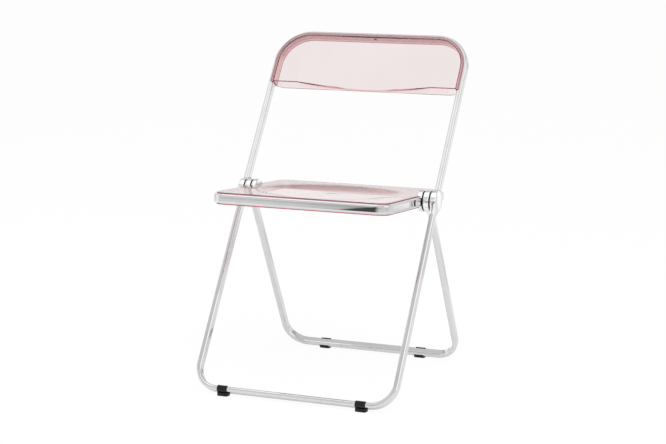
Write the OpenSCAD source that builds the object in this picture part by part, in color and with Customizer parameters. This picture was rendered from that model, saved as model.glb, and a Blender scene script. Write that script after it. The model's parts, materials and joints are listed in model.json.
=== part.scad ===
// Folding dining chair: flat-oval tube hoops that turn on one axis through three stacked discs a
// side, with a clear moulded seat and back clipped inside the tubes.
// Origin on the floor under the middle of the chair, front towards -Y, left and right as seen from the front.

/* [Frame] */
// Width over the two outer hinge discs
frame_w = 476; // [430:1:520]
// Height of the hinge axis above the floor
hinge_h = 412.5; // [390:0.5:440]
// From the hinge axis to the middle of the top bar
back_l = 405.5; // [360:0.5:440]
// Lean of the back from upright, in degrees
back_lean = 34.5; // [30:0.1:38]
// Lean of the front legs from upright, in degrees
front_lean = 33.3; // [29:0.1:36]
// Lean of the rear legs from upright, in degrees
rear_lean = 27.5; // [24:0.1:31]

/* [Tube] */
// Long side of the flat-oval tube, square to each hoop
tube_deep = 22; // [20:0.5:25]
// Short side of the flat-oval tube
tube_thick = 12; // [11:0.5:13]
// Wall of the tube
tube_wall = 1.5; // [1:0.1:2]
// Bend radius of the back hoop, at the tube's middle
back_bend = 76; // [55:1:85]
// Bend radius of the front leg hoop
leg_bend = 52; // [45:1:60]
// Bend radius of the rear leg hoop
rear_bend = 50; // [45:1:60]
// Bend radius of the two seat hoops
seat_bend = 25; // [20:1:40]

/* [Hinge] */
// Diameter of the hinge discs
disc_d = 49; // [48:0.5:56]
// Thickness of the outer and middle discs
disc_t = 12.5; // [12.5:0.5:15]
// Thickness of the disc that carries the seat hoops
seat_disc_t = 10; // [9.5:0.5:13]
// Chamfer of the disc rims
disc_chamfer = 1; // [0.5:0.1:2]
// Diameter of the friction washers
washer_d = 44.5; // [42:0.5:48]
// Thickness of the friction washers
washer_t = 3.2; // [2:0.1:4]
// Shank diameter of the pivot bolt
bolt_d = 10; // [9:0.5:12]
// Head diameter of the pivot bolt
bolt_head_d = 16; // [14:0.5:18]
// Head thickness of the pivot bolt
bolt_head_t = 3.4; // [3:0.1:4]
// Threaded end of the pivot bolt
bolt_thread_d = 8; // [6:0.5:8.5]
// Diameter of the stop pin
stop_pin_d = 6; // [5:0.5:7]
// Radius at which the stop pin runs
stop_pin_r = 16.5; // [15.5:0.1:17]
// Length of each spigot inside its tube
spigot_l = 26; // [15:1:40]
// From a disc's rim to the end of its leg tube
leg_neck_l = 9; // [4:0.5:14]
// Gap between a disc's rim and the coped end of the back tube or a seat tube
cope_gap = 0.8; // [0.3:0.1:0.9]

/* [Seat] */
// From the hinge axis forward to the front of the seat
seat_front = 231; // [215:1:250]
// From the hinge axis back to the rear of the seat
seat_rear = 147; // [130:1:160]
// Rise of the seat towards its front, in degrees
seat_tilt = 4.2; // [0:0.1:7]
// Drop of the seat tubes' middle below the hinge axis
rail_drop = 0.5; // [0:0.5:4]
// Depth of the oval dish in the seat
seat_dish = 11; // [4:0.5:13]
// From the middle of a side tube of the seat to the dish
dish_side = 38; // [20:1:60]
// From the middle of the seat's front or rear tube to the dish
dish_end = 53; // [20:1:70]

/* [Moulded shells] */
// Wall of the seat and back mouldings
shell_wall = 2; // [1.6:0.1:2.6]
// Height of the back panel, from its lower edge to the middle of the top bar
panel_h = 132; // [100:1:150]
// Depth of the hollow across the back panel
panel_dish = 22; // [8:0.5:23]
// Half width of the hollow across the back panel
panel_dish_half = 165; // [120:1:180]

/* [Feet] */
// Wall of the clip-on feet
foot_wall = 1.5; // [1.2:0.1:3]
// Height of the front bar's underside over the floor
front_foot_drop = 3.8; // [3.5:0.1:8]
// Height of the rear bar's underside over the floor
rear_foot_drop = 3.8; // [3.5:0.1:8]
// Length of each foot's clip along its bar
foot_clip_l = 23; // [18:1:34]
// Length of each foot's floor pad
foot_pad_l = 26; // [24:1:44]
// Width of each foot's floor pad
foot_pad_w = 18; // [16:0.5:24]
// Thickness of each foot's floor pad
foot_pad_t = 7.5; // [6:0.5:9]
// From the end of a bend of the front hoop to its foot
front_foot_inset = 4.5; // [0.5:0.5:40]
// From the end of a bend of the rear hoop to its foot
rear_foot_inset = 32; // [0.5:0.5:60]

/* [Hidden] */
$fn = 64;

// Clearances and overruns
fit = 0.1;
face_gap = 0.1;
run_gap = 0.05;
stop_gap = 0.3;
shell_gap = 0.6;
over = 1;

// Small features of the discs, bolts and screws
bolt_thread_l = 9;
stop_pin_seat = 8;
stop_pin_end = 4.6;
stop_slot_depth = 5.2;
stop_angle = 200;
neck_face_drop = 0.2;
neck_root_share = 0.92;
neck_start_share = 0.3;
screw_d = 3.4;
screw_head_d = 7;
screw_head_t = 2.2;
screw_bite = 5;
foot_tab_l = 3.5;
foot_pad_shift = 1;
foot_pad_corner = 5;

// Directions of the three hoops, turned from +Y towards +Z
back_dir = 90 - back_lean;
leg_dir = -90 - front_lean;
rear_dir = -90 + rear_lean;

// How far the rear legs and the seat turn to close
rear_fold = front_lean + rear_lean;
seat_fold = 90 - seat_tilt + back_lean;

// Flat part of the tube's long side, and the bars' heights over the floor
tube_flat = tube_deep - tube_thick;
foot_grow = foot_wall + fit;
front_bar_h = tube_flat / 2 * sin(front_lean) + tube_thick / 2 + front_foot_drop;
rear_bar_h = tube_flat / 2 * sin(rear_lean) + tube_thick / 2 + rear_foot_drop;
leg_l = (hinge_h - front_bar_h) / cos(front_lean);
rear_l = (hinge_h - rear_bar_h) / cos(rear_lean);

// The stack of discs along the axis, from the outside in
washer_slot = washer_t + 2 * face_gap;
outer_x = frame_w / 2 - disc_t;
middle_x = outer_x - washer_slot - disc_t;
inner_x = middle_x - washer_slot - seat_disc_t;
hoop_half = outer_x + disc_t / 2;
rear_half = middle_x + disc_t / 2;
ring_half = inner_x + seat_disc_t / 2;
front_foot_x = hoop_half - leg_bend - front_foot_inset - foot_pad_l / 2;
rear_foot_x = rear_half - rear_bend - rear_foot_inset - foot_pad_l / 2;
leg_start = disc_d / 2 + leg_neck_l;
tube_root = stop_pin_r + stop_pin_d / 2 + over;

// The shells' rim round the tube
rim_in = tube_thick / 2 + fit;
rim_out = rim_in + shell_wall;
rim_half_in = tube_deep / 2 + fit;
rim_half = rim_half_in + shell_wall;
panel_low = back_l - panel_h;
ring_front = seat_front - tube_thick / 2;
ring_rear = seat_rear - tube_thick / 2;

// Grids of the two dished sheets, and how steep the seat's dish is at its edge
panel_cols = 22;
panel_rows = 7;
dish_steps = 7;
dish_rings = 10;
dish_power = 8;

// The hinge axis stands so that the origin is under the middle of the chair
front_reach = leg_l * sin(front_lean) + tube_flat / 2 * cos(front_lean) + tube_thick / 2 + foot_grow;
back_tube_reach = tube_flat / 2 * cos(back_lean) + tube_thick / 2;
back_reach = back_l * sin(back_lean) + max(rim_half * cos(back_lean), back_tube_reach);
hinge_y = (front_reach - back_reach) / 2;

// Places and directions

module hoop_space(dir) {
    translate([0, hinge_y, hinge_h]) rotate([dir, 0, 0]) children();
}

module seat_space() {
    translate([0, hinge_y, hinge_h]) rotate([-seat_tilt, 0, 0]) translate([0, 0, -rail_drop]) children();
}

// Along the hinge axis: x turns to the chair's Y, y to Z and z to X
module axis_space(x) {
    translate([x, hinge_y, hinge_h]) rotate([90, 0, 90]) children();
}

module on_side(side) {
    if (side > 0) children();
    else mirror([1, 0, 0]) children();
}

// Flat-oval tube

module tube_section(grow) {
    square([tube_thick + 2 * grow, tube_flat], center = true);
    for (end = [-1, 1]) translate([0, end * tube_flat / 2]) circle(r = tube_thick / 2 + grow);
}

// A hoop open at one end: two legs from start, two bends and a bar at length
module hoop_solid(half, length, bend, start, grow) {
    for (side = [-1, 1]) {
        translate([side * half, start, 0]) rotate([-90, 0, 0])
            linear_extrude(height = length - bend - start) tube_section(grow);
        translate([side * (half - bend), length - bend, 0]) rotate([0, 0, 45 - 45 * side])
            rotate_extrude(angle = 90) translate([bend, 0]) tube_section(grow);
    }
    translate([bend - half, length, 0]) rotate([90, 0, 90])
        linear_extrude(height = 2 * (half - bend)) tube_section(grow);
}

module hoop(half, length, bend, start) {
    difference() {
        hoop_solid(half, length, bend, start, 0);
        hoop_solid(half, length, bend, start - over, -tube_wall);
    }
}

// A hoop whose ends are coped round the hinge discs, and that may stand rise below their middle
module coped_hoop(half, length, bend, rise) {
    difference() {
        hoop(half, length, bend, tube_root);
        translate([0, 0, rise]) rotate([0, 90, 0])
            cylinder(h = 2 * half + 2 * tube_thick, r = disc_d / 2 + cope_gap, center = true);
    }
}

// The four bends of the seat, for the rim of its shell
module ring_corners() {
    for (turn = [0, 1, 2, 3]) {
        corner_x = (turn == 0 || turn == 3 ? 1 : -1) * (ring_half - seat_bend);
        corner_y = turn < 2 ? ring_rear - seat_bend : seat_bend - ring_front;
        translate([corner_x, corner_y, 0]) rotate([0, 0, 90 * turn])
            rotate_extrude(angle = 90) translate([seat_bend, 0]) children();
    }
}

// Hole for a screw through the tube's inner wall, at y on a bar and pointing along dir
module screw_hole(y, dir) {
    translate([0, y, 0]) rotate([-90 * dir, 0, 0]) cylinder(h = tube_thick / 2, d = screw_d + 2 * fit);
}

module back_hoop() {
    color("gainsboro") hoop_space(back_dir) difference() {
        coped_hoop(hoop_half, back_l, back_bend, 0);
        screw_hole(back_l, -1);
    }
}

module leg_hoop() {
    color("gainsboro") hoop_space(leg_dir) hoop(hoop_half, leg_l, leg_bend, leg_start);
}

module rear_hoop() {
    color("gainsboro") hoop_space(rear_dir) hoop(rear_half, rear_l, rear_bend, leg_start);
}

module seat_front_hoop() {
    color("gainsboro") seat_space() mirror([0, 1, 0]) difference() {
        coped_hoop(ring_half, ring_front, seat_bend, rail_drop);
        screw_hole(ring_front, -1);
    }
}

module seat_rear_hoop() {
    color("gainsboro") seat_space() difference() {
        coped_hoop(ring_half, ring_rear, seat_bend, rail_drop);
        screw_hole(ring_rear, -1);
    }
}

// Hinge discs

module disc_blank(thickness) {
    r = disc_d / 2;
    c = disc_chamfer;
    rotate_extrude() polygon([
        [0, 0], [r - c, 0], [r, c], [r, thickness - c], [r - c, thickness], [0, thickness]
    ]);
}

// Spigot from start that fills the bore of a tube
module spigot(dir, start, length) {
    rotate([0, 0, dir]) translate([start, 0, 0]) rotate([0, 90, 0])
        linear_extrude(height = length) tube_section(-tube_wall - fit);
}

// Cast web that narrows from the disc to the end of a leg tube, with a round rod along each edge
module leg_neck(dir) {
    root_x = disc_d / 2 * neck_start_share;
    root_y = disc_d / 2 * neck_root_share - tube_thick / 2;
    rod_l = norm([leg_start - root_x, root_y - tube_flat / 2]);
    slope = atan2(root_y - tube_flat / 2, leg_start - root_x);
    web_t = tube_thick - 2 * neck_face_drop;
    rotate([0, 0, dir]) translate([0, 0, disc_t / 2]) difference() {
        union() {
            translate([0, 0, -web_t / 2]) linear_extrude(height = web_t) polygon([
                [root_x, -root_y], [leg_start, -tube_flat / 2], [leg_start, tube_flat / 2], [root_x, root_y]
            ]);
            for (side = [-1, 1]) translate([root_x, side * root_y, 0]) rotate([0, 0, -side * slope])
                rotate([0, 90, 0]) cylinder(h = rod_l + tube_thick, d = tube_thick);
        }
        translate([leg_start, -disc_d / 2, -disc_t]) cube([disc_d, disc_d, 2 * disc_t]);
    }
}

// Arc slot in which the stop pin runs while its disc turns by sweep
module arc_slot(sweep, depth) {
    half_w = stop_pin_d / 2 + stop_gap;
    ease = asin(half_w / stop_pin_r);
    rotate([0, 0, stop_angle - ease]) rotate_extrude(angle = sweep + 2 * ease)
        translate([stop_pin_r - half_w, 0]) square([2 * half_w, depth]);
}

module stop_pin_place() {
    rotate([0, 0, stop_angle]) translate([stop_pin_r, 0, 0]) children();
}

module outer_disc(side) {
    color("silver") on_side(side) axis_space(outer_x) difference() {
        union() {
            disc_blank(disc_t);
            leg_neck(leg_dir);
            translate([0, 0, disc_t / 2]) {
                spigot(back_dir, tube_root, spigot_l);
                spigot(leg_dir, leg_start - over, spigot_l + over);
            }
        }
        translate([0, 0, -over]) cylinder(h = bolt_thread_l + over + fit, d = bolt_thread_d + 2 * run_gap);
        stop_pin_place() translate([0, 0, -over])
            cylinder(h = stop_pin_seat + over + fit, d = stop_pin_d + 2 * run_gap);
    }
}

module middle_disc(side) {
    color("silver") on_side(side) axis_space(middle_x) difference() {
        union() {
            disc_blank(disc_t);
            leg_neck(rear_dir);
            translate([0, 0, disc_t / 2]) spigot(rear_dir, leg_start - over, spigot_l + over);
        }
        translate([0, 0, -over]) cylinder(h = disc_t + 2 * over, d = bolt_d + 2 * run_gap);
        translate([0, 0, -over]) arc_slot(rear_fold, disc_t + 2 * over);
    }
}

module inner_disc(side) {
    color("silver") on_side(side) axis_space(inner_x) difference() {
        union() {
            disc_blank(seat_disc_t);
            rotate([0, 0, -seat_tilt]) translate([0, -rail_drop, seat_disc_t / 2])
                for (turn = [0, 180]) spigot(turn, tube_root, spigot_l);
        }
        translate([0, 0, -over]) cylinder(h = seat_disc_t + 2 * over, d = bolt_d + 2 * run_gap);
        translate([0, 0, -over])
            cylinder(h = over + bolt_head_t + 2 * face_gap, d = bolt_head_d + 2 * stop_gap);
        translate([0, 0, seat_disc_t - stop_slot_depth]) arc_slot(seat_fold, stop_slot_depth + over);
    }
}

// Washer that starts at x on the hinge axis, held by the bolt and the stop pin
module washer(side, x) {
    color([0.08, 0.08, 0.09]) on_side(side) axis_space(x + face_gap) difference() {
        cylinder(h = washer_t, d = washer_d);
        translate([0, 0, -over]) cylinder(h = washer_t + 2 * over, d = bolt_d + 2 * fit);
        stop_pin_place() translate([0, 0, -over])
            cylinder(h = washer_t + 2 * over, d = stop_pin_d + 2 * fit);
    }
}

// Shoulder bolt: head in the inner disc, shank through all discs, thread in the outer disc
module pivot_bolt(side) {
    color("dimgray") on_side(side) axis_space(inner_x + face_gap) {
        cylinder(h = bolt_head_t, d = bolt_head_d);
        cylinder(h = outer_x - inner_x - face_gap, d = bolt_d);
        cylinder(h = outer_x - inner_x - face_gap + bolt_thread_l, d = bolt_thread_d);
    }
}

module stop_pin(side) {
    pin_low = inner_x + seat_disc_t - stop_pin_end;
    color("dimgray") on_side(side) axis_space(pin_low) stop_pin_place()
        cylinder(h = outer_x - pin_low + stop_pin_seat, d = stop_pin_d);
}

// Moulded shells

// Rim that clips over the tube from inside, open to the outside
module rim_section() {
    difference() {
        translate([-rim_out, -rim_half]) square([rim_out, 2 * rim_half]);
        translate([-rim_in, -rim_half_in]) square([rim_in + over, 2 * rim_half_in]);
    }
}

// Closed sheet of one wall over a grid: top is a list of rows of heights, one row for each y
module sheet(xs, ys, top) {
    nx = len(xs);
    ny = len(ys);
    upper = [for (j = [0:ny - 1]) for (i = [0:nx - 1]) [xs[i], ys[j], top[j][i]]];
    lower = [for (p = upper) [p[0], p[1], p[2] - shell_wall]];
    n = nx * ny;
    cells = [for (j = [0:ny - 2]) for (i = [0:nx - 2]) j * nx + i];
    rim = concat(
        [for (i = [0:nx - 2]) i],
        [for (j = [0:ny - 2]) j * nx + nx - 1],
        [for (i = [nx - 1:-1:1]) (ny - 1) * nx + i],
        [for (j = [ny - 1:-1:1]) j * nx]
    );
    faces = concat(
        [for (c = cells) for (t = [[c, c + nx, c + nx + 1], [c, c + nx + 1, c + 1]]) t],
        [for (c = cells) for (t = [[c, c + nx + 1, c + nx], [c, c + 1, c + nx + 1]]) [for (v = t) v + n]],
        [for (k = [0:len(rim) - 1])
            let (a = rim[k], b = rim[(k + 1) % len(rim)])
            for (t = [[a, b, b + n], [a, b + n, a + n]]) t]
    );
    polyhedron(points = concat(upper, lower), faces = faces);
}

// Hollow of the back panel at x, a share v of the way up from its lower edge
function panel_top(x, v) =
    rim_half - panel_dish * max(0, 1 - pow(x / panel_dish_half, 2)) * (1 - v * v);

module panel_sheet() {
    edge = hoop_half - rim_in - shell_wall / 2;
    xs = concat([-edge], [for (i = [0:panel_cols]) panel_dish_half * (2 * i / panel_cols - 1)], [edge]);
    y1 = back_l - rim_in - shell_wall / 2;
    shares = [for (j = [0:panel_rows]) j / panel_rows];
    sheet(xs, [for (v = shares) panel_low + v * (y1 - panel_low)],
        [for (v = shares) [for (x = xs) panel_top(x, v)]]);
}

// Wall along the lower edge, from the sheet back to the rear of the rim
module panel_foot() {
    edge = hoop_half - rim_in - shell_wall / 2;
    xs = concat([-edge], [for (i = [0:panel_cols]) panel_dish_half * (2 * i / panel_cols - 1)], [edge]);
    translate([0, panel_low + shell_wall, 0]) rotate([90, 0, 0]) linear_extrude(height = shell_wall)
        polygon(concat(
            [for (x = xs) [x, panel_top(x, 0) - shell_wall / 2]],
            [[edge, -rim_half], [-edge, -rim_half]]
        ));
}

module back_shell() {
    color([0.95, 0.72, 0.76, 0.5]) hoop_space(back_dir) difference() {
        union() {
            for (side = [-1, 1]) on_side(side) {
                translate([hoop_half, panel_low, 0]) rotate([-90, 0, 0])
                    linear_extrude(height = panel_h - back_bend) rim_section();
                translate([hoop_half - back_bend, back_l - back_bend, 0])
                    rotate_extrude(angle = 90) translate([back_bend, 0]) rim_section();
            }
            translate([back_bend - hoop_half, back_l, 0]) rotate([90, 0, 90])
                linear_extrude(height = 2 * (hoop_half - back_bend)) rim_section();
            intersection() {
                panel_sheet();
                panel_outline();
            }
            panel_foot();
        }
        screw_hole(back_l - rim_in, -1);
    }
}

// Outline that the sheet keeps to, along the middle of the rim's inner wall
module panel_outline() {
    half = hoop_half - rim_in - shell_wall / 2;
    bend = back_bend - rim_in - shell_wall / 2;
    top = back_l - rim_in - shell_wall / 2;
    translate([0, 0, -rim_half - over]) linear_extrude(height = 2 * (rim_half + over)) {
        translate([-half, panel_low - over]) square([2 * half, top - bend - panel_low + over]);
        translate([bend - half, panel_low]) square([2 * (half - bend), top - panel_low]);
        for (side = [-1, 1]) translate([side * (half - bend), top - bend]) circle(r = bend);
    }
}

// Height of the seat's sheet at a share of the way from the middle of the dish to its edge
function seat_top(share) = rim_half - seat_dish * (1 - pow(share, dish_power));

// Sheet with an oval dish: rings of points round its middle, and a last one along a rectangle
module seat_sheet() {
    edge_x = ring_half - rim_in - shell_wall / 2;
    edge_y = (ring_rear + ring_front) / 2 - rim_in - shell_wall / 2;
    half_x = ring_half - dish_side;
    half_y = (ring_rear + ring_front) / 2 - dish_end;
    corner = atan2(edge_y / half_y, edge_x / half_x);
    turns = [for (quarter = [0:3]) let (first = quarter % 2 == 0 ? corner : 90 - corner)
        for (k = [0:2 * dish_steps - 1])
            90 * quarter + (k < dish_steps ? first * k : first * dish_steps + (90 - first) * (k - dish_steps))
                / dish_steps];
    n = len(turns);
    shares = [for (k = [1:dish_rings]) sin(90 * k / dish_rings)];
    upper = concat(
        [[0, 0, seat_top(0)]],
        [for (share = shares) for (a = turns) [share * half_x * cos(a), share * half_y * sin(a), seat_top(share)]],
        [for (a = turns) let (out = 1 / max(abs(cos(a)) * half_x / edge_x, abs(sin(a)) * half_y / edge_y))
            [out * half_x * cos(a), out * half_y * sin(a), rim_half]]
    );
    lower = [for (p = upper) [p[0], p[1], p[2] - shell_wall]];
    count = len(upper);
    tops = concat(
        [for (i = [0:n - 1]) [0, 1 + (i + 1) % n, 1 + i]],
        [for (j = [0:dish_rings - 1]) for (i = [0:n - 1])
            let (a = 1 + j * n + i, b = 1 + j * n + (i + 1) % n)
            for (t = [[a, b, b + n], [a, b + n, a + n]]) t]
    );
    faces = concat(
        tops,
        [for (t = tops) [t[0] + count, t[2] + count, t[1] + count]],
        [for (i = [0:n - 1]) let (a = count - n + i, b = count - n + (i + 1) % n)
            for (t = [[a, b, b + count], [a, b + count, a + count]]) t]
    );
    translate([0, (ring_rear - ring_front) / 2, 0]) polyhedron(points = concat(upper, lower), faces = faces);
}

module seat_shell() {
    color([0.95, 0.72, 0.76, 0.5]) seat_space() difference() {
        union() {
            for (side = [-1, 1]) on_side(side) translate([ring_half, seat_bend - ring_front, 0])
                rotate([-90, 0, 0]) linear_extrude(height = ring_front + ring_rear - 2 * seat_bend)
                rim_section();
            translate([seat_bend - ring_half, ring_rear, 0]) rotate([90, 0, 90])
                linear_extrude(height = 2 * (ring_half - seat_bend)) rim_section();
            mirror([0, 1, 0]) translate([seat_bend - ring_half, ring_front, 0]) rotate([90, 0, 90])
                linear_extrude(height = 2 * (ring_half - seat_bend)) rim_section();
            ring_corners() rim_section();
            seat_sheet();
        }
        screw_hole(-ring_front + rim_in, 1);
        screw_hole(ring_rear - rim_in, -1);
        // Room for the inner discs, outside the rim's wall
        translate([0, 0, rail_drop]) for (side = [-1, 1]) rotate([0, 90 * side, 0])
            translate([0, 0, inner_x - shell_gap]) cylinder(h = tube_deep, r = disc_d / 2 + shell_gap);
    }
}

// Pan-head screw whose head bears at the origin, pointing along +Y
module screw() {
    rotate([-90, 0, 0]) {
        cylinder(h = screw_bite, d = screw_d);
        translate([0, 0, -screw_head_t]) cylinder(h = screw_head_t, d = screw_head_d);
    }
}

module back_shell_screw() {
    color("silver") hoop_space(back_dir) translate([0, back_l - rim_out, 0]) screw();
}

module seat_shell_screws() {
    color("silver") seat_space() {
        translate([0, ring_rear - rim_out, 0]) screw();
        translate([0, rim_out - ring_front, 0]) mirror([0, 1, 0]) screw();
    }
}

// Clip-on feet

// Clip round the bar's outer side and its upper end, where a short tab turns over its inner side
module foot_section(up) {
    difference() {
        tube_section(foot_grow);
        tube_section(fit);
        translate([-tube_deep / 2, up * (tube_deep / 2 - foot_tab_l - tube_deep)])
            square([tube_deep, 2 * tube_deep], center = true);
    }
}

module foot(dir, length, x) {
    lean = -90 - dir;
    bar_y = hinge_y + length * cos(dir);
    pad_y = bar_y - foot_pad_shift * sign(lean);
    color([0.08, 0.08, 0.09]) difference() {
        union() {
            hoop_space(dir) translate([x - foot_clip_l / 2, length, 0]) rotate([90, 0, 90])
                linear_extrude(height = foot_clip_l) foot_section(-sign(lean));
            translate([x, pad_y, 0]) linear_extrude(height = foot_pad_t) pad_outline();
        }
        hoop_space(dir) translate([x - foot_pad_l, length, 0]) rotate([90, 0, 90])
            linear_extrude(height = 2 * foot_pad_l) tube_section(fit);
    }
}

module pad_outline() {
    side_x = foot_pad_l / 2 - foot_pad_corner;
    side_y = foot_pad_w / 2 - foot_pad_corner;
    square([foot_pad_l, 2 * side_y], center = true);
    square([2 * side_x, foot_pad_w], center = true);
    for (x = [-side_x, side_x]) for (y = [-side_y, side_y]) translate([x, y]) circle(r = foot_pad_corner);
}

back_hoop();
leg_hoop();
rear_hoop();
seat_front_hoop();
seat_rear_hoop();
outer_disc(-1);  // outer_disc_left
outer_disc(1);  // outer_disc_right
middle_disc(-1);  // middle_disc_left
middle_disc(1);  // middle_disc_right
inner_disc(-1);  // inner_disc_left
inner_disc(1);  // inner_disc_right
washer(-1, middle_x + disc_t);  // outer_washer_left
washer(1, middle_x + disc_t);  // outer_washer_right
washer(-1, inner_x + seat_disc_t);  // inner_washer_left
washer(1, inner_x + seat_disc_t);  // inner_washer_right
pivot_bolt(-1);  // pivot_bolt_left
pivot_bolt(1);  // pivot_bolt_right
stop_pin(-1);  // stop_pin_left
stop_pin(1);  // stop_pin_right
back_shell();
back_shell_screw();
seat_shell();
seat_shell_screws();
foot(leg_dir, leg_l, -front_foot_x);  // front_foot_left
foot(leg_dir, leg_l, front_foot_x);  // front_foot_right
foot(rear_dir, rear_l, -rear_foot_x);  // rear_foot_left
foot(rear_dir, rear_l, rear_foot_x);  // rear_foot_right
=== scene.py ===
import json
import math

import bmesh
import bpy
from mathutils import Matrix, Vector
from mathutils.geometry import delaunay_2d_cdt

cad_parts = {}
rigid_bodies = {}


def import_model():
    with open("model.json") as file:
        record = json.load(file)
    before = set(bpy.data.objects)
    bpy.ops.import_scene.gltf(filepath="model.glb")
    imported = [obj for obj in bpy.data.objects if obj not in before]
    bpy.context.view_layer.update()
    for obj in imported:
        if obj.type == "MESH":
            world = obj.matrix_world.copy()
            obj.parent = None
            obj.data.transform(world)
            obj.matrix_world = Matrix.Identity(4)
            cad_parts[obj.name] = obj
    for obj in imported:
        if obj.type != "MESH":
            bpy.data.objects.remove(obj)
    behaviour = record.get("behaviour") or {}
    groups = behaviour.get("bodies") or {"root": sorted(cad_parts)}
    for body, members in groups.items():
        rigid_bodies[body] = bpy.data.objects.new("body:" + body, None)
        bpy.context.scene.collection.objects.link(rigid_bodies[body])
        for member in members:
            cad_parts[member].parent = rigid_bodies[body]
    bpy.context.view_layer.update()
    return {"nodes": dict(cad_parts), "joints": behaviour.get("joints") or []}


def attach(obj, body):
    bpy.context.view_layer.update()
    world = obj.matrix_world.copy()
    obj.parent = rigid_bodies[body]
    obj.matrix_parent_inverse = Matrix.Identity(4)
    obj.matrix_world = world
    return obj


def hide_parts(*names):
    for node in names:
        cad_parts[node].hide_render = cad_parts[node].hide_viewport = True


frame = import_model()
print("frame loaded:", len(frame["nodes"]), "nodes")

mm = 0.001
hinge = Vector(frame["joints"][0]["pos_m"])  # a point on the axis that all three hoops turn on
cleaning = {"weld": 1e-6, "sliver": 1e-7, "onEnd": 1e-5, "flatAngle": 0.3}  # metres and degrees
white, black = (1, 1, 1, 1), (0, 0, 0, 1)


def feed(tree, socket, value):
    # Another node's output is linked, and anything else becomes the socket's own value
    if isinstance(value, bpy.types.NodeSocket):
        tree.links.new(value, socket)
    else:
        socket.default_value = value


def feedOf(socket):
    return socket.links[0].from_socket


def addNode(tree, kind, settings=None, **values):
    # settings are the node's own, and values go to its sockets by name, with _ for a space
    node = tree.nodes.new(kind)
    for key, value in (settings or {}).items():
        setattr(node, key, value)
    for key, value in values.items():
        feed(tree, node.inputs[key.replace("_", " ")], value)
    return node


def inOrder(tree, kind, operation, values):
    # A math node whose sockets are fed in their order
    node = addNode(tree, kind, {"operation": operation})
    for socket, value in zip(node.inputs, values):
        feed(tree, socket, value)
    return node.outputs


def mathNode(tree, operation, *values):
    return inOrder(tree, "ShaderNodeMath", operation, values)["Value"]


def vectorNode(tree, operation, *values, output="Vector"):
    return inOrder(tree, "ShaderNodeVectorMath", operation, values)[output]


def multiply(tree, first, *others):
    for other in others:
        first = mathNode(tree, "MULTIPLY", first, other)
    return first


def greatest(tree, first, *others):
    for other in others:
        first = mathNode(tree, "MAXIMUM", first, other)
    return first


def rangeNode(tree, value, low, high, start=0.0, end=1.0, ease="LINEAR"):
    node = addNode(tree, "ShaderNodeMapRange", {"interpolation_type": ease}, Value=value,
                   From_Min=low, From_Max=high, To_Min=start, To_Max=end)
    return node.outputs["Result"]


def mixColors(tree, factor, first, second, blend="MIX"):
    mix = addNode(tree, "ShaderNodeMix", {"data_type": "RGBA", "blend_type": blend})
    for i, value in ((0, factor), (6, first), (7, second)):  # where the node keeps its colours
        feed(tree, mix.inputs[i], value)
    return mix.outputs[2]


def newGroup(name, inputs, outputs, kind="ShaderNodeTree"):
    # A node group with named sockets; returns also what it is given and what it gives
    group = bpy.data.node_groups.new(name, kind)
    for label, holds, *value in inputs:
        socket = group.interface.new_socket(name=label, in_out="INPUT",
                                            socket_type="NodeSocket" + holds)
        if value:
            socket.default_value = value[0]
    for label, holds in outputs:
        group.interface.new_socket(name=label, in_out="OUTPUT", socket_type="NodeSocket" + holds)
    given, result = group.nodes.new("NodeGroupInput"), group.nodes.new("NodeGroupOutput")
    return group, given.outputs, result.inputs


def newMaterial(name):
    material = bpy.data.materials.new(name)
    material.use_nodes = True
    tree = material.node_tree
    return material, tree, tree.nodes["Principled BSDF"]


marking = {"smudgeFrom": 0.45, "smudgeTo": 0.75, "scratchDeep": 0.00002}


def makeHandling():
    # Soft smudges and fine hairline scratches, as masks over Object coordinates
    group, given, result = newGroup("handling", [
        ("Smudge Scale", "Float", 30.0),
        ("Scratch Scale", "Float", 900.0),
        ("Base Roughness", "Float", 0.05),
        ("Smudge Roughness", "Float", 0.06),
        ("Relief", "Float", 0.1),
    ], [("Roughness", "Float"), ("Smudge", "Float"), ("Normal", "Vector")])
    place = addNode(group, "ShaderNodeTexCoord").outputs["Object"]
    smudge = addNode(group, "ShaderNodeTexNoise", Detail=4.0, Roughness=0.6,
                     Vector=place, Scale=given["Smudge Scale"])
    mask = rangeNode(group, smudge.outputs["Fac"], marking["smudgeFrom"], marking["smudgeTo"],
                     ease="SMOOTHSTEP")
    worn = mathNode(group, "MULTIPLY_ADD", mask, given["Smudge Roughness"], given["Base Roughness"])
    scratch = addNode(group, "ShaderNodeTexNoise", Detail=2.0, Roughness=0.5, Distortion=0.4,
                      Vector=place, Scale=given["Scratch Scale"])
    bump = addNode(group, "ShaderNodeBump", Strength=given["Relief"], Height=scratch.outputs["Fac"],
                   Distance=marking["scratchDeep"])
    feed(group, result["Roughness"], worn)
    feed(group, result["Smudge"], mask)
    feed(group, result["Normal"], bump.outputs["Normal"])
    return group


handling = makeHandling()

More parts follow.
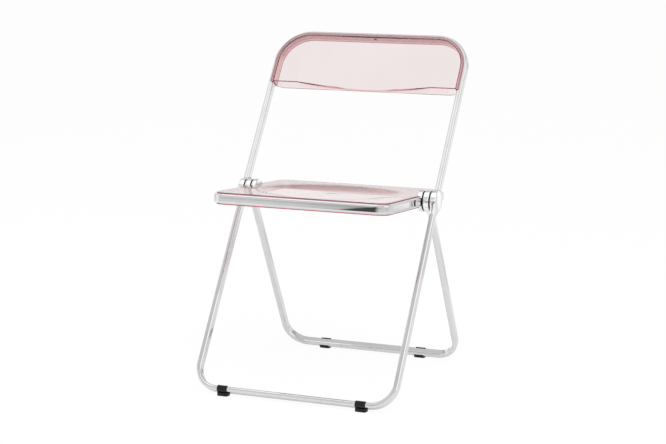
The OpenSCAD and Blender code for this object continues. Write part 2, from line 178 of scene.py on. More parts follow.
finishes = {  # colours clean and smudged, the marks of handling, and the shader's own values
    "chromeTube": {
        "slot": "chrome_tube",
        "clean": (0.69, 0.695, 0.69, 1), "smudged": (0.65, 0.655, 0.655, 1),
        "marks": {"Smudge Scale": 22.0, "Scratch Scale": 700.0, "Base Roughness": 0.03,
                  "Smudge Roughness": 0.04, "Relief": 0.05},
        "shader": {"Metallic": 1.0},
    },
    "castDisc": {
        "slot": "cast_disc",
        "clean": (0.84, 0.85, 0.845, 1), "smudged": (0.78, 0.79, 0.79, 1),
        "marks": {"Smudge Scale": 60.0, "Scratch Scale": 1200.0, "Base Roughness": 0.04,
                  "Smudge Roughness": 0.06, "Relief": 0.05},
        "shader": {"Metallic": 1.0},
    },
    "clearMoulding": {
        "slot": "clear_moulding",
        "clean": (0.99, 1.0, 0.985, 1), "smudged": (0.98, 0.985, 0.97, 1),
        "marks": {"Smudge Scale": 14.0, "Scratch Scale": 600.0, "Base Roughness": 0.0,
                  "Smudge Roughness": 0.025, "Relief": 0.02},
        # The emission strength lights only the painted glow on the cut ends
        "shader": {"IOR": 1.5, "Transmission Weight": 1.0, "Emission Strength": 0.22},
    },
    "hingeSteel": {
        "slot": "hinge_steel",
        "clean": (0.62, 0.62, 0.63, 1), "smudged": (0.5, 0.5, 0.5, 1),
        "marks": {"Smudge Scale": 120.0, "Scratch Scale": 2500.0, "Base Roughness": 0.22,
                  "Smudge Roughness": 0.12, "Relief": 0.25},
        "shader": {"Metallic": 1.0},
    },
    "blackPlastic": {
        "slot": "black_plastic",
        "clean": (0.005, 0.005, 0.006, 1), "smudged": (0.012, 0.012, 0.013, 1),
        "marks": {"Smudge Scale": 90.0, "Scratch Scale": 1800.0, "Base Roughness": 0.42,
                  "Smudge Roughness": 0.16, "Relief": 0.6},
        "shader": {"Specular IOR Level": 0.3},
    },
}
turning = {"radiansPerMetre": 9000.0, "strength": 0.03, "deep": 0.00002}
moldParts = {"face": 0.0, "wall": 0.5, "edge": 1.0}  # walls wrap a tube; edges are the cut ends
clearBody = {
    # Painted pink shade on the walls, and a deep pink on the cut ends that is partly the plastic's own
    # colour and partly painted shade
    "wallPaintedShade": (1.0, 0.9, 0.915, 1), "edgePinkAndShade": (0.65, 0.27, 0.34, 1), "edgeGround": 0.4,
    # A painted glow on the cut ends, though the sheet is no lamp
    "paintedEdgeGlow": (1.0, 0.16, 0.28, 1), "insideColor": (0.65, 0.25, 0.29, 1), "insideDensity": 130.0,
}


def makeFinish(name, addTo=None):
    finish = finishes[name]
    material, tree, shader = newMaterial(name)
    for socket, value in finish["shader"].items():
        shader.inputs[socket].default_value = value
    marks = addNode(tree, "ShaderNodeGroup", {"node_tree": handling}, **finish["marks"]).outputs
    feed(tree, shader.inputs["Base Color"],
         mixColors(tree, marks["Smudge"], finish["clean"], finish["smudged"]))
    feed(tree, shader.inputs["Roughness"], marks["Roughness"])
    feed(tree, shader.inputs["Normal"], marks["Normal"])
    if addTo:
        addTo(tree, shader)
    return material


def addTurningRings(tree, shader):
    # Faint rings round the hinge axis, under the marks of handling
    place = addNode(tree, "ShaderNodeTexCoord").outputs["Object"]
    centred = addNode(tree, "ShaderNodeMapping", Vector=place, Location=(0, -hinge.y, -hinge.z),
                      Scale=(0, 1, 1))
    radius = vectorNode(tree, "LENGTH", centred.outputs["Vector"], output="Value")
    waves = mathNode(tree, "SINE", multiply(tree, radius, turning["radiansPerMetre"]))
    bump = addNode(tree, "ShaderNodeBump", Strength=turning["strength"], Distance=turning["deep"],
                   Height=waves, Normal=feedOf(shader.inputs["Normal"]))
    feed(tree, shader.inputs["Normal"], bump.outputs["Normal"])


def addClearBody(tree, shader):
    # Bright faces, painted pink shade on the walls where light runs far inside the sheet, and finely
    # ground edges whose deep pink is partly their own and partly painted shade
    part = addNode(tree, "ShaderNodeAttribute", {"attribute_name": "moldPart"}).outputs["Fac"]
    wall = rangeNode(tree, part, moldParts["face"], moldParts["wall"])
    edge = rangeNode(tree, part, moldParts["wall"], moldParts["edge"])
    tint = mixColors(tree, wall, white, clearBody["wallPaintedShade"])
    color = mixColors(tree, edge, feedOf(shader.inputs["Base Color"]), clearBody["edgePinkAndShade"])
    feed(tree, shader.inputs["Base Color"], mixColors(tree, 1.0, color, tint, "MULTIPLY"))
    # A painted glow on the cut ends, standing in for the light that the whole sheet pipes to its edges
    feed(tree, shader.inputs["Emission Color"], mixColors(tree, edge, black, clearBody["paintedEdgeGlow"]))
    ground = mathNode(tree, "MULTIPLY_ADD", edge, clearBody["edgeGround"],
                      feedOf(shader.inputs["Roughness"]))
    feed(tree, shader.inputs["Roughness"], ground)
    inside = addNode(tree, "ShaderNodeVolumeAbsorption", Density=clearBody["insideDensity"],
                     Color=clearBody["insideColor"])
    feed(tree, tree.nodes["Material Output"].inputs["Volume"], inside.outputs["Volume"])


chromeTube = makeFinish("chromeTube")
castDisc = makeFinish("castDisc", addTurningRings)
clearMoulding = makeFinish("clearMoulding", addClearBody)
hingeSteel = makeFinish("hingeSteel")
blackPlastic = makeFinish("blackPlastic")
print("materials made")


# Millimetres and degrees, as in the frame. A hoop's length runs from the hinge axis to its far bar,
# and its half is half the distance between its two legs
tube = {"deep": 22, "thick": 12, "cornerShare": 0.499, "bendSteps": 30, "cornerSteps": 20,
        "copeRadius": 25.3, "legStart": 33.5}
backHoop = {"half": 231.75, "length": 405.5, "bend": 76, "turn": 55.5}
frontHoop = {"half": 231.75, "length": 478.525, "bend": 52, "turn": -123.3}
rearHoop = {"half": 215.85, "length": 451.394, "bend": 50, "turn": -62.5}
seatRing = {"half": 201.2, "front": 225, "rear": 141, "bend": 25, "tilt": -4.2, "drop": 0.5}


def hoopSpace(turn):
    # y runs along the hoop, away from the hinge, and z stands square to it
    return Matrix.Translation(hinge) @ Matrix.Rotation(math.radians(turn), 4, "X")


seatSpace = hoopSpace(seatRing["tilt"]) @ Matrix.Translation((0, 0, -seatRing["drop"] * mm))


def newObject(name, data):
    obj = bpy.data.objects.new(name, data)
    bpy.context.scene.collection.objects.link(obj)
    return obj


def evaluatedMesh(obj):
    return bpy.data.meshes.new_from_object(obj.evaluated_get(bpy.context.evaluated_depsgraph_get()))


def smoothMesh(mesh, sharpAngle=32):
    mesh.polygons.foreach_set("use_smooth", [True] * len(mesh.polygons))
    mesh.set_sharp_from_angle(angle=math.radians(sharpAngle))


def finishPiece(obj, body, node):
    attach(obj, body)
    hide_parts(node)


def makeTubeTree():
    # Flat-oval tube along a path of straight lines whose corners are bent
    tree, given, result = newGroup("tubeAlongPath", [
        ("Path", "Geometry"), ("Bend Radius", "Float"), ("Tube Deep", "Float"),
        ("Tube Thick", "Float"), ("Bend Steps", "Int"), ("Corner Steps", "Int"),
        ("Finish", "Material"),
    ], [("Tube", "Geometry")], "GeometryNodeTree")
    path = addNode(tree, "GeometryNodeMeshToCurve", Mesh=given["Path"])
    bent = addNode(tree, "GeometryNodeFilletCurve", {"mode": "POLY"}, Curve=path.outputs["Curve"],
                   Radius=given["Bend Radius"], Count=given["Bend Steps"])
    upright = addNode(tree, "GeometryNodeSetCurveNormal", {"mode": "Z_UP"},
                      Curve=bent.outputs["Curve"])
    section = addNode(tree, "GeometryNodeCurvePrimitiveQuadrilateral",
                      Width=given["Tube Thick"], Height=given["Tube Deep"])
    corner = multiply(tree, given["Tube Thick"], tube["cornerShare"])
    rounded = addNode(tree, "GeometryNodeFilletCurve", {"mode": "POLY"},
                      Curve=section.outputs["Curve"], Radius=corner, Count=given["Corner Steps"])
    swept = addNode(tree, "GeometryNodeCurveToMesh", Curve=upright.outputs["Curve"],
                    Profile_Curve=rounded.outputs["Curve"], Fill_Caps=True)
    real = addNode(tree, "GeometryNodeRealizeInstances", Geometry=swept.outputs["Mesh"])
    paint = addNode(tree, "GeometryNodeSetMaterial", Geometry=real.outputs["Geometry"],
                    Material=given["Finish"])
    feed(tree, result["Tube"], paint.outputs["Geometry"])
    return tree


tubeTree = makeTubeTree()


def sweepTube(name, points, bend):
    # Runs the tree along a path of points, and keeps the result as one plain mesh
    path = bpy.data.meshes.new(name)
    path.from_pydata([tuple(value * mm for value in point) for point in points],
                     [(i, i + 1) for i in range(len(points) - 1)], [])
    guide = newObject(name + "Path", path)
    modifier = guide.modifiers.new("tube", "NODES")
    modifier.node_group = tubeTree
    values = {"Bend Radius": bend * mm, "Bend Steps": tube["bendSteps"],
              "Tube Deep": tube["deep"] * mm, "Tube Thick": tube["thick"] * mm,
              "Corner Steps": tube["cornerSteps"], "Finish": chromeTube}
    for item in tubeTree.interface.items_tree:
        if item.name in values:
            modifier[item.identifier] = values[item.name]
    mesh = evaluatedMesh(guide)
    bpy.data.objects.remove(guide)
    mesh.name = name
    work = bmesh.new()
    work.from_mesh(mesh)
    bmesh.ops.remove_doubles(work, verts=work.verts, dist=cleaning["weld"])
    bmesh.ops.recalc_face_normals(work, faces=work.faces)
    work.to_mesh(mesh)
    work.free()
    return mesh


def copeEnds(mesh, rise):
    # Moves both end rings onto the circle of the hinge disc, and closes them with strips
    radius = tube["copeRadius"] * mm
    work = bmesh.new()
    work.from_mesh(mesh)
    for side in (-1, 1):
        ring = [v for v in work.verts
                if abs(v.co.y - radius) < cleaning["onEnd"] and v.co.x * side > 0]
        middle = sum(v.co.x for v in ring) / len(ring)
        caps = [f for f in work.faces if all(v in ring for v in f.verts)]
        bmesh.ops.delete(work, geom=caps, context="FACES_ONLY")
        for v in ring:
            v.co.y = math.sqrt(radius ** 2 - (v.co.z - rise * mm) ** 2)
        near = sorted((v for v in ring if v.co.x < middle), key=lambda v: v.co.z)
        far = sorted((v for v in ring if v.co.x >= middle), key=lambda v: v.co.z)
        for i in range(len(near) - 1):
            work.faces.new((near[i], far[i], far[i + 1], near[i + 1]))
    bmesh.ops.recalc_face_normals(work, faces=work.faces)
    work.to_mesh(mesh)
    work.free()


def makeHoop(name, sizes, length, place, body, node, copeRise=None):
    # copeRise is how high the hinge disc's middle stands over a hoop whose ends are cut to its rim
    half = sizes["half"]
    start = tube["legStart"] if copeRise is None else tube["copeRadius"]
    points = [(-half, start, 0), (-half, length, 0), (half, length, 0), (half, start, 0)]
    mesh = sweepTube(name, points, sizes["bend"])
    if copeRise is not None:
        copeEnds(mesh, copeRise)
    mesh.transform(place)
    smoothMesh(mesh)
    finishPiece(newObject(name, mesh), body, node)


makeHoop("backTube", backHoop, backHoop["length"], hoopSpace(backHoop["turn"]),
         "main_frame", "back_hoop", 0)
makeHoop("frontLegTube", frontHoop, frontHoop["length"], hoopSpace(frontHoop["turn"]),
         "main_frame", "leg_hoop")
makeHoop("rearLegTube", rearHoop, rearHoop["length"], hoopSpace(rearHoop["turn"]),
         "rear_legs", "rear_hoop")
makeHoop("seatFrontTube", seatRing, seatRing["front"], seatSpace @ Matrix.Rotation(math.pi, 4, "X"),
         "seat", "seat_front_hoop", -seatRing["drop"])
makeHoop("seatRearTube", seatRing, seatRing["rear"], seatSpace,
         "seat", "seat_rear_hoop", seatRing["drop"])
print("tubes made")

bevelSizes = {"segments": 2, "overAngle": 35}
pairedPieces = [  # name, node, body, finish, and the bevel of its edges in millimetres
    ("outerDisc", "outer_disc", "main_frame", castDisc, 0.3),
    ("middleDisc", "middle_disc", "rear_legs", castDisc, 0.3),
    ("innerDisc", "inner_disc", "seat", castDisc, 0.2),
    ("outerWasher", "outer_washer", "main_frame", blackPlastic, 0.3),
    ("innerWasher", "inner_washer", "main_frame", blackPlastic, 0.3),
    ("pivotBolt", "pivot_bolt", "main_frame", hingeSteel, 0),
    ("stopPin", "stop_pin", "main_frame", hingeSteel, 0),
    ("frontFoot", "front_foot", "main_frame", blackPlastic, 0.6),
    ("rearFoot", "rear_foot", "rear_legs", blackPlastic, 0.6),
]
screws = [("backScrew", "back_shell_screw", "main_frame", hingeSteel, 0.2),
          ("seatScrews", "seat_shell_screws", "seat", hingeSteel, 0.2)]


def easedCopy(name, node, body, material, edge):
    # A node's mesh, welded, with its flat faces joined and its edges bevelled
    mesh = frame["nodes"][node].data.copy()
    work = bmesh.new()
    work.from_mesh(mesh)
    bmesh.ops.remove_doubles(work, verts=work.verts, dist=cleaning["weld"])
    bmesh.ops.dissolve_limit(work, angle_limit=math.radians(cleaning["flatAngle"]),
                             verts=work.verts, edges=work.edges)
    work.to_mesh(mesh)
    work.free()
    mesh.materials.clear()
    mesh.materials.append(material)
    obj = newObject(name, mesh)
    if edge:
        bevel = obj.modifiers.new("edge", "BEVEL")
        bevel.width, bevel.segments = edge * mm, bevelSizes["segments"]
        bevel.limit_method, bevel.angle_limit = "ANGLE", math.radians(bevelSizes["overAngle"])
        eased = evaluatedMesh(obj)
        obj.modifiers.clear()
        obj.data = eased
    smoothMesh(obj.data)
    finishPiece(obj, body, node)


for side in ("left", "right"):
    for name, node, body, material, edge in pairedPieces:
        easedCopy(name + side.capitalize(), node + "_" + side, body, material, edge)
for piece in screws:
    easedCopy(*piece)
print("hinges and feet made")

channel = {  # millimetres, inwards from the tube's middle and up from its middle plane
    "wall": 2, "near": 6.1, "half": 13.1, "corner": 0.4,
    "bendSteps": 14, "sideSteps": 30, "sharpAngle": 38,
    "upperRows": 6, "lipRows": 11, "rows": 13,  # of the section that channelRows gives
    "upperEdge": (2, 3, 4), "lowerEdge": (8, 9, 10),  # the strips that end its two lips
}
channelInner = channel["near"] + channel["wall"]


def channelRows(lip):
    # The section of the channel that wraps the tube, as pairs of inward distance and height: out
    # over the tube and back, down its inside, out under it and back. lip is where its lips end
    near, high, cut = channel["near"], channel["half"], channel["corner"]
    low = high - channel["wall"]
    upper = [(max(near, lip + cut), high), (lip + cut, high), (lip, high - cut),
             (lip, low + cut), (lip + cut, low), (near, low)]
    lower = [(near, -low), (lip + cut, -low), (lip, -low - cut),
             (lip, cut - high), (lip + cut, -high)]
    return upper + lower + [(channelInner - cut, -high), (channelInner, cut - high)]


def evenly(first, span, steps):
    # The points inside a span that is cut into equal steps
    return [first + span * i / steps for i in range(1, steps)]


def addVertex(work, x, y, z):
    return work.verts.new((x * mm, y * mm, z * mm))


def addStrips(work, rows, rim, wrapped):
    # Faces between rows of vertices that run round the piece; rim is the first strip of the
    # channel, and wrapped the number of columns in which that channel wraps a tube
    part = work.faces.layers.float.new("moldPart")
    for strip, (first, second) in enumerate(zip(rows, rows[1:])):
        count, place = len(first), strip - rim
        for i in range(count):
            corners = []
            for v in (first[i], first[(i + 1) % count], second[(i + 1) % count], second[i]):
                if v not in corners:
                    corners.append(v)
            if place in channel["upperEdge"] or place in channel["lowerEdge"] and i < wrapped:
                kind = "edge"
            else:
                kind = "wall" if 0 <= place <= channel["rows"] and i < wrapped else "face"
            if len(corners) > 2:
                work.faces.new(corners)[part] = moldParts[kind]


def finishShell(work, name, place, body, node):
    bmesh.ops.remove_doubles(work, verts=work.verts, dist=cleaning["weld"])
    bmesh.ops.dissolve_degenerate(work, edges=work.edges, dist=cleaning["sliver"])
    bmesh.ops.recalc_face_normals(work, faces=work.faces)
    mesh = bpy.data.meshes.new(name)
    work.to_mesh(mesh)
    work.free()
    mesh.transform(place)
    mesh.materials.append(clearMoulding)
    smoothMesh(mesh, channel["sharpAngle"])
    finishPiece(newObject(name, mesh), body, node)


seatPan = {  # millimetres; fromFront and its like run inwards from the tube's middle to the dish's oval
    "notchX": 5.6, "notchTop": 21.7, "notchStep": 0.1, "notchClear": 3,
    "deep": 11, "wallPower": 5, "rimEase": 0.05, "fromFront": 21, "fromSide": 38, "fromRear": 53,
    "flatRings": (0, 0.3, 0.6), "rimRings": (1, 0.6, 0.2, -0.2, -0.6, -1),
    "rings": 22, "firstRing": 2, "ringPower": 0.7,
}


def seatOutline():
    # Points along the seat tube's middle, each with its inward direction
    low, high, half, r = -seatRing["front"], seatRing["rear"], seatRing["half"], seatRing["bend"]
    notch, step, steps = seatPan["notchTop"], seatPan["notchStep"], channel["bendSteps"]
    sideYs = [y for y in evenly(low + r, high - low - 2 * r, channel["sideSteps"])
              if abs(abs(y) - notch) > seatPan["notchClear"]]
    sideYs = sorted(sideYs + [-notch - step, -notch, notch, notch + step])
    endXs = evenly(r - half, 2 * (half - r), channel["sideSteps"])
    points = []

    def straight(spots, inward):
        points.extend((Vector(spot), Vector(inward)) for spot in spots)

    def bend(x, y, first):
        for i in range(steps + 1):
            turn = math.radians(first + 90 * i / steps)
            way = Vector((math.cos(turn), math.sin(turn)))
            points.append((Vector((x, y)) + r * way, -way))

    straight([(half, y) for y in sideYs], (-1, 0))
    bend(half - r, high - r, 0)
    straight([(x, high) for x in reversed(endXs)], (0, -1))
    bend(r - half, high - r, 90)
    straight([(-half, y) for y in reversed(sideYs)], (1, 0))
    bend(r - half, low + r, 180)
    straight([(x, low) for x in endXs], (0, 1))
    bend(half - r, low + r, 270)
    return points


def dishDrop(share):
    # Flat outside the oval, a rounded rim, then a wall that runs out into the bottom
    power, ease = seatPan["wallPower"], seatPan["rimEase"]
    if share >= 1 + ease:
        return 0
    rim = 1 - ease
    slope = power * rim ** (power - 1)
    if share > rim:
        return seatPan["deep"] * slope * (1 + ease - share) ** 2 / (4 * ease)
    return seatPan["deep"] * min(1, slope * ease + (rim ** power - share ** power))


def makeSeatShell():
    outline = seatOutline()
    middle = Vector((0, (seatRing["rear"] - seatRing["front"]) / 2))
    halfX = seatRing["half"] - seatPan["fromSide"]
    halfRear = (seatRing["rear"] + seatRing["front"]) / 2 - seatPan["fromRear"]
    halfFront = seatRing["front"] + middle.y - seatPan["fromFront"]
    work = bmesh.new()

    def dishRow(share, reach, below=0):
        # share is 1 at the dish's oval and 0 at its middle; on the flat outside the dish,
        # reach runs from 0 at the channel to 1 where the dish's rim begins
        row = []
        for point, inward in outline:
            start = point + inward * channelInner
            halfY = halfRear if start.y > middle.y else halfFront
            turn = math.atan2((start.y - middle.y) / halfY, (start.x - middle.x) / halfX)
            oval = middle + Vector((halfX * math.cos(turn), halfY * math.sin(turn))) * share
            flat = start.lerp(oval, reach)
            row.append(addVertex(work, flat.x, flat.y, channel["half"] - dishDrop(share) - below))
        return row

    ease = seatPan["rimEase"]
    rings = [(1 + ease, reach) for reach in seatPan["flatRings"]]
    rings += [(1 + part * ease, 1) for part in seatPan["rimRings"]]
    for i in range(seatPan["firstRing"], seatPan["rings"]):
        closing = math.cos(math.pi / 2 * i / seatPan["rings"]) ** seatPan["ringPower"]
        rings.append(((1 - ease) * closing, 1))
    tops = [dishRow(share, reach) for share, reach in reversed(rings)]
    lows = [dishRow(share, reach, channel["wall"]) for share, reach in rings]
    notchEnd = seatPan["notchTop"] + seatPan["notchStep"] / 2
    rims = []
    for i in range(channel["rows"]):
        row = []
        for point, inward in outline:
            # Beside the hinge discs the lips stop short of the tube
            inwardBy, height = channelRows(seatPan["notchX"] if abs(point.y) < notchEnd else 0)[i]
            flat = point + inward * inwardBy
            row.append(addVertex(work, flat.x, flat.y, height))
        rims.append(row)
    addStrips(work, tops + rims + lows, len(tops) - 1, len(outline))
    for row in (tops[0], lows[-1]):
        pole = work.verts.new((0, middle.y * mm, sum(v.co.z for v in row) / len(row)))
        for i in range(len(row)):
            work.faces.new((pole, row[i], row[(i + 1) % len(row)]))
    finishShell(work, "seatShell", seatSpace, "seat", "seat_shell")


backPanel = {  # millimetres; low is where its foot lies, and the grid fills the sheet
    "low": 273.5, "dish": 22, "dishHalf": 165, "dishClear": 4, "footDrop": 4, "footEase": 16,
    "legSteps": 8, "footSteps": 52, "same": 1e-4, "rounding": 1e-5,
    "gridStep": 9, "gridStart": 0.8, "gridApart": 0.55, "gridUnderTop": 3,
}


def panelTop(x, y):
    # The height of the sheet's front face: level at the top and the sides, dished towards its foot
    low = backPanel["low"]
    high = backHoop["length"] - channel["near"] - channel["wall"] / 2
    share = min(1, max(0, (y - low) / (high - low)))
    across = max(0, 1 - (x / backPanel["dishHalf"]) ** 2)
    return channel["half"] - backPanel["dish"] * across * (1 - share * share)


def makeBackShell():
    half, high, r, low = backHoop["half"], backHoop["length"], backHoop["bend"], backPanel["low"]
    near, footHalf, steps = channel["near"], half - channelInner, 2 * channel["bendSteps"]
    work = bmesh.new()
    columns = []  # a flat point by inward distance, whether it is the foot's, and its drop

    def straight(x, y, wayX, wayY, foot=False, drop=0):
        columns.append((lambda a: Vector((x + wayX * a, y + wayY * a)), foot, drop))

    def corner(side, foot):
        # Past the rim's outer face the cut end turns along the foot
        columns.append((lambda a: Vector((side * (half - a), low + max(0, a - near))), foot, 0))

    def bend(x, quarter):
        for i in range(steps + 1):
            turn = math.pi / 2 * (quarter + i / steps)
            wayX, wayY = math.cos(turn), math.sin(turn)
            straight(x + r * wayX, high - r + r * wayY, -wayX, -wayY)

    legYs = evenly(low, high - r - low, backPanel["legSteps"])
    footXs = [x for x in evenly(-footHalf, 2 * footHalf, backPanel["footSteps"])
              if abs(abs(x) - backPanel["dishHalf"]) > backPanel["dishClear"]]
    footXs = sorted(footXs + [-backPanel["dishHalf"], backPanel["dishHalf"]])
    corner(1, False)
    for y in legYs:
        straight(half, y, -1, 0)
    bend(half - r, 0)
    for x in reversed(evenly(r - half, 2 * (half - r), channel["sideSteps"])):
        straight(x, high, 0, -1)
    bend(r - half, 1)
    for y in reversed(legYs):
        straight(-half, y, 1, 0)
    corner(-1, False)
    wrapped = len(columns)
    corner(-1, True)
    for x in footXs:
        ease = min(1, (footHalf - abs(x)) / backPanel["footEase"])
        straight(x, low - near, 0, 1, True, backPanel["footDrop"] * ease)
    corner(1, True)

    rows = []
    for i in range(channel["rows"]):
        row = []
        for place, foot, drop in columns:
            inwardBy, height = channelRows(0)[i]
            if foot:
                inwardBy = channelInner if i >= channel["lipRows"] else near
            flat = place(inwardBy)
            if i < channel["upperRows"]:
                top = panelTop(flat.x, flat.y) if foot else channel["half"]
                height = height - channel["half"] + top
            height = max(height, -channel["half"])
            # The foot slants down towards its rear by drop
            slant = drop * min(1, max(0, (channel["half"] - height) / (2 * channel["half"])))
            row.append(addVertex(work, flat.x, flat.y - slant, height))
        rows.append(row)

    border = [place(channelInner) for place, foot, drop in columns]
    step = backPanel["gridStep"]
    gridYs = [low + channelInner - near + step * (j + backPanel["gridStart"])
              for j in range(int((high - low) / step))]

    def inside(spot):
        # Under the top, inside both bends, and not too near the channel
        nearest = min((spot - edge).length for edge in border)
        bendMiddle = Vector((math.copysign(half - r, spot.x), high - r))
        inCurve = (abs(spot.x) < half - r or spot.y < high - r
                   or (spot - bendMiddle).length < r - channelInner)
        return (nearest > backPanel["gridApart"] * step and inCurve
                and spot.y < high - channelInner - backPanel["gridUnderTop"])

    def sheetRow(spots, below):
        return [addVertex(work, spot.x, spot.y, panelTop(spot.x, spot.y) - below) for spot in spots]

    flats = []  # the border without its doubles, and then the grid
    for spot in border:
        if all((spot - other).length > backPanel["same"] for other in flats[-3:] + flats[:1]):
            flats.append(spot)
    ring = list(range(len(flats)))
    flats += [spot for spot in (Vector((x, y)) for x in footXs for y in gridYs) if inside(spot)]
    filled = delaunay_2d_cdt(flats, [], [ring], 1, backPanel["rounding"])
    for below, flip in ((0, False), (channel["wall"], True)):
        verts = sheetRow(filled[0], below)
        for face in filled[2]:
            corners = [verts[i] for i in face]
            work.faces.new(reversed(corners) if flip else corners)
    topRow, lowRow = sheetRow(border, 0), sheetRow(border, channel["wall"])
    addStrips(work, [topRow] + rows + [lowRow], 0, wrapped)
    finishShell(work, "backShell", hoopSpace(backHoop["turn"]), "main_frame", "back_shell")


makeSeatShell()
makeBackShell()
print("shells made")

# Metres, and degrees up from level or round from straight in front of the chair, + to its right.
# The boxes are those that metal shows: a direction, a gain and half a width
studio = {
    "floorHalf": 40.0, "floorDrop": 0.0005, "floorWhite": 0.93, "floorRough": 0.9,
    "cameraGlow": 0.93, "mirrorGlow": 0.45, "worldLight": 0.8,
    "lamps": [("keyLight", (1.8, -1.6, 3.2), 60, 2.4), ("fillLight", (-2.4, -1.2, 2.2), 25, 2.4)],
    "ceiling": 0.76, "ceilingFrom": 12, "ceilingTo": 34,
    "boxes": [((0.89, -0.03, 0.45), 0.5, 24), ((-0.96, -0.26, -0.09), 0.5, 19),
              ((-0.6, 0.7, 0.4), 0.3, 9), ((0.38, 0.92, -0.12), 0.5, 4.5)],
    "boxFade": 3, "frameDark": 0.22, "frameWide": 7, "frameFade": 2,
    "dark": 0.06, "darkFrom": -19.7, "darkEase": -16, "darkTo": 34,
    "hazeWide": 4.8, "hazeShare": 0.42, "sharpBefore": 0.2, "sharpAfter": 0.3, "sharpShare": 0.58,
    "darkLow": -9, "darkLowFade": 2, "darkHigh": 9, "darkHighFade": 4,
    "gapDark": 0.3, "gapLow": -1.5, "gapHigh": 2.5, "gapFade": 0.8,
    "gapBehind": 150, "gapBehindFade": 4,
    "overheadBoxes": [((-0.9, -0.3, 2.0), (4.2, 1.6), 0.95),
                      ((-0.55, -0.3, 1.98), (1.0, 1.6), 0.9)],
}


def inDegrees(tree, operation, *values):
    return multiply(tree, mathNode(tree, operation, *values), 180 / math.pi)


def bandMask(tree, value, low, lowFade, high, highFade):
    # 1 between low and high, and 0 beyond the fades outside them
    return multiply(tree, rangeNode(tree, value, low - lowFade, low),
                    rangeNode(tree, value, high, high + highFade, 1.0, 0.0))


def makeSurround():
    # What polished metal and glass see in each direction of the studio: a pale ceiling, soft boxes
    # with dark frames, the dark end of the room behind the camera, and a thin dark horizon
    group, given, result = newGroup("studioSurround", [
        ("Direction", "Vector"), ("Veiled", "Float", 0.0),
    ], [("Mirror", "Float"), ("Through", "Float")])
    unit = vectorNode(group, "NORMALIZE", given["Direction"])
    parts = addNode(group, "ShaderNodeSeparateXYZ", Vector=unit).outputs
    rise = inDegrees(group, "ARCSINE", parts["Z"])
    around = inDegrees(group, "ARCTAN2", parts["X"], multiply(group, parts["Y"], -1))
    bare = rangeNode(group, given["Veiled"], 0.0, 1.0, 1.0, 0.0)  # 0 for what is seen through glass
    light = rangeNode(group, rise, studio["ceilingFrom"], studio["ceilingTo"],
                      1.0, studio["ceiling"], "SMOOTHSTEP")
    feed(group, result["Through"], light)
    for toward, gain, half in studio["boxes"]:
        dot = vectorNode(group, "DOT_PRODUCT", unit, Vector(toward).normalized(), output="Value")
        away = inDegrees(group, "ARCCOSINE", dot)
        edge, fade = half + studio["boxFade"], studio["frameFade"]
        light = mathNode(group, "ADD", light, rangeNode(group, away, half, edge, gain, 0.0))
        rim = bandMask(group, away, edge + fade, fade, edge + studio["frameWide"], fade)
        light = mathNode(group, "SUBTRACT", light, multiply(group, rim, studio["frameDark"]))
    start = studio["darkFrom"]
    haze = rangeNode(group, around, start - studio["hazeWide"], start, 0.0, studio["hazeShare"])
    sharp = rangeNode(group, around, start - studio["sharpBefore"], start + studio["sharpAfter"],
                      0.0, studio["sharpShare"])
    gone = rangeNode(group, around, studio["darkEase"], studio["darkTo"], 1.0, 0.0, "SMOOTHSTEP")
    level = bandMask(group, rise, studio["darkLow"], studio["darkLowFade"],
                     studio["darkHigh"], studio["darkHighFade"])
    shade = multiply(group, mathNode(group, "ADD", haze, sharp), gone, level, bare)
    horizon = bandMask(group, rise, studio["gapLow"], studio["gapFade"],
                       studio["gapHigh"], studio["gapFade"])
    ahead = rangeNode(group, mathNode(group, "ABSOLUTE", around),
                      studio["gapBehind"] - studio["gapBehindFade"], studio["gapBehind"], 1.0, 0.0)
    gap = multiply(group, horizon, bare, ahead, studio["gapDark"])
    keep = rangeNode(group, shade, 0.0, 1.0, 1.0, studio["dark"])
    feed(group, result["Mirror"], multiply(group, mathNode(group, "SUBTRACT", light, gap), keep))
    return group


surround = makeSurround()


def lookAround(tree, direction):
    # The kinds of ray, and what the studio shows them; metal under the shells sees no dark
    rays = addNode(tree, "ShaderNodeLightPath").outputs
    seen = addNode(tree, "ShaderNodeGroup", {"node_tree": surround}, Direction=direction,
                   Veiled=rays["Transmission Depth"]).outputs
    return rays, seen


def glowStrength(tree, rays, seen):
    # White to the camera, and the studio to metal and glass
    return greatest(tree, multiply(tree, rays["Is Glossy Ray"], seen["Mirror"]),
                    multiply(tree, rays["Is Transmission Ray"], seen["Through"]),
                    rays["Is Camera Ray"])


def mixShaders(tree, output, share, first, second):
    mix = addNode(tree, "ShaderNodeMixShader", Fac=share)
    feed(tree, mix.inputs[1], first)
    feed(tree, mix.inputs[2], second)
    feed(tree, tree.nodes[output].inputs["Surface"], mix.outputs["Shader"])


def makeFloor():
    material, tree, shader = newMaterial("studioFloor")
    shader.inputs["Base Color"].default_value = (studio["floorWhite"],) * 3 + (1,)
    shader.inputs["Roughness"].default_value = studio["floorRough"]
    shader.inputs["Specular IOR Level"].default_value = 0.0
    place = addNode(tree, "ShaderNodeTexCoord").outputs["Object"]
    rays, seen = lookAround(tree, vectorNode(tree, "SUBTRACT", place, (0, hinge.y, hinge.z)))
    glow = addNode(tree, "ShaderNodeEmission", Strength=glowStrength(tree, rays, seen))
    mirrorShare = rangeNode(tree, seen["Mirror"], 0.0, 1.0, 1.0, studio["mirrorGlow"])
    share = greatest(tree, multiply(tree, rays["Is Camera Ray"], studio["cameraGlow"]),
                     multiply(tree, rays["Is Glossy Ray"], mirrorShare),
                     multiply(tree, rays["Is Transmission Ray"], studio["cameraGlow"]))
    mixShaders(tree, "Material Output", share, shader.outputs["BSDF"], glow.outputs["Emission"])
    mesh = bpy.data.meshes.new("floor")
    half = studio["floorHalf"]
    corners = [(-half, -half, 0), (half, -half, 0), (half, half, 0), (-half, half, 0)]
    mesh.from_pydata(corners, [], [(0, 1, 2, 3)])
    mesh.materials.append(material)
    floor = newObject("floor", mesh)
    floor.location.z = -studio["floorDrop"]


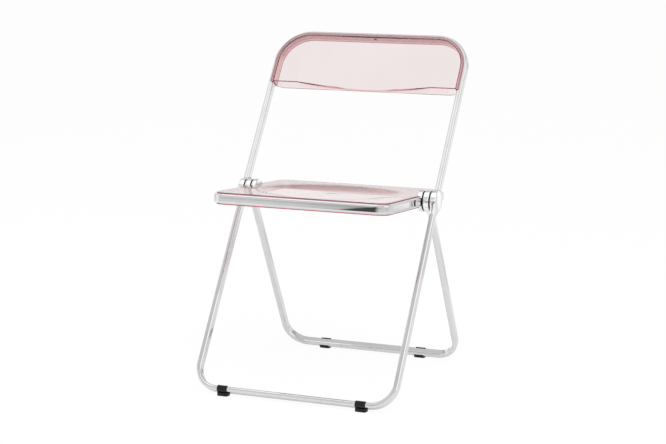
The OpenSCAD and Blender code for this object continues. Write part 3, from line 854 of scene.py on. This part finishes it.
def makeWorld():
    world = bpy.data.worlds.new("studioWorld")
    world.use_nodes = True
    bpy.context.scene.world = world
    tree = world.node_tree
    light = tree.nodes["Background"]
    light.inputs["Color"].default_value = white
    light.inputs["Strength"].default_value = studio["worldLight"]
    rays, seen = lookAround(tree, addNode(tree, "ShaderNodeTexCoord").outputs["Generated"])
    shown = addNode(tree, "ShaderNodeBackground", Color=white,
                    Strength=glowStrength(tree, rays, seen))
    known = greatest(tree, rays["Is Camera Ray"], rays["Is Glossy Ray"],
                     rays["Is Transmission Ray"])
    mixShaders(tree, "World Output", known,
               light.outputs["Background"], shown.outputs["Background"])


def makeOverheadBoxes():
    # Soft boxes that only the polished metal shows, so they add no light to the chair
    polished = bpy.data.collections.new("polishedMetal")
    for obj in bpy.context.scene.objects:
        finish = obj.data.materials[0] if obj.type == "MESH" and obj.data.materials else None
        if finish in (chromeTube, castDisc):
            polished.objects.link(obj)
    for number, (place, size, bright) in enumerate(studio["overheadBoxes"]):
        data = bpy.data.lights.new("overheadBox%d" % (number + 1), "AREA")
        data.shape = "RECTANGLE"
        data.size, data.size_y = size
        data.energy = bright * size[0] * size[1]
        lamp = newObject(data.name, data)
        lamp.location = place
        lamp.visible_camera = lamp.visible_diffuse = lamp.visible_transmission = False
        lamp.light_linking.receiver_collection = polished


def makeLamp(name, place, power, size):
    data = bpy.data.lights.new(name, "AREA")
    data.energy, data.size = power, size
    lamp = newObject(name, data)
    lamp.location = place
    lamp.rotation_euler = (hinge - Vector(place)).to_track_quat("-Z", "Y").to_euler()
    lamp.visible_glossy = False  # the soft boxes of the surround are what metal shows
    lamp.visible_transmission = False


makeFloor()
makeWorld()
makeOverheadBoxes()
for lamp in studio["lamps"]:
    makeLamp(*lamp)

photoCamera = {  # solved from the tubes in the photograph, from the hinge axis
    "fromHinge": (1.58427, -3.79773, 0.70464), "yaw": 22.81, "pitch": -10.55, "roll": -0.13,
    "focalPixels": 1863.93, "imageWidth": 666, "sensor": 36.0, "clipEnd": 200,
}


def makeCamera():
    data = bpy.data.cameras.new("photoCamera")
    data.sensor_width = photoCamera["sensor"]
    data.lens = photoCamera["focalPixels"] * photoCamera["sensor"] / photoCamera["imageWidth"]
    data.clip_end = photoCamera["clipEnd"]
    camera = newObject("photoCamera", data)
    place = Vector((0, hinge.y, hinge.z)) + Vector(photoCamera["fromHinge"])
    camera.matrix_world = (Matrix.Translation(place)
                           @ Matrix.Rotation(math.radians(photoCamera["yaw"]), 4, "Z")
                           @ Matrix.Rotation(math.radians(90 + photoCamera["pitch"]), 4, "X")
                           @ Matrix.Rotation(math.radians(photoCamera["roll"]), 4, "Z"))
    bpy.context.scene.camera = camera


makeCamera()
bpy.context.scene.view_settings.view_transform = "Standard"
print("floor, light and camera set")
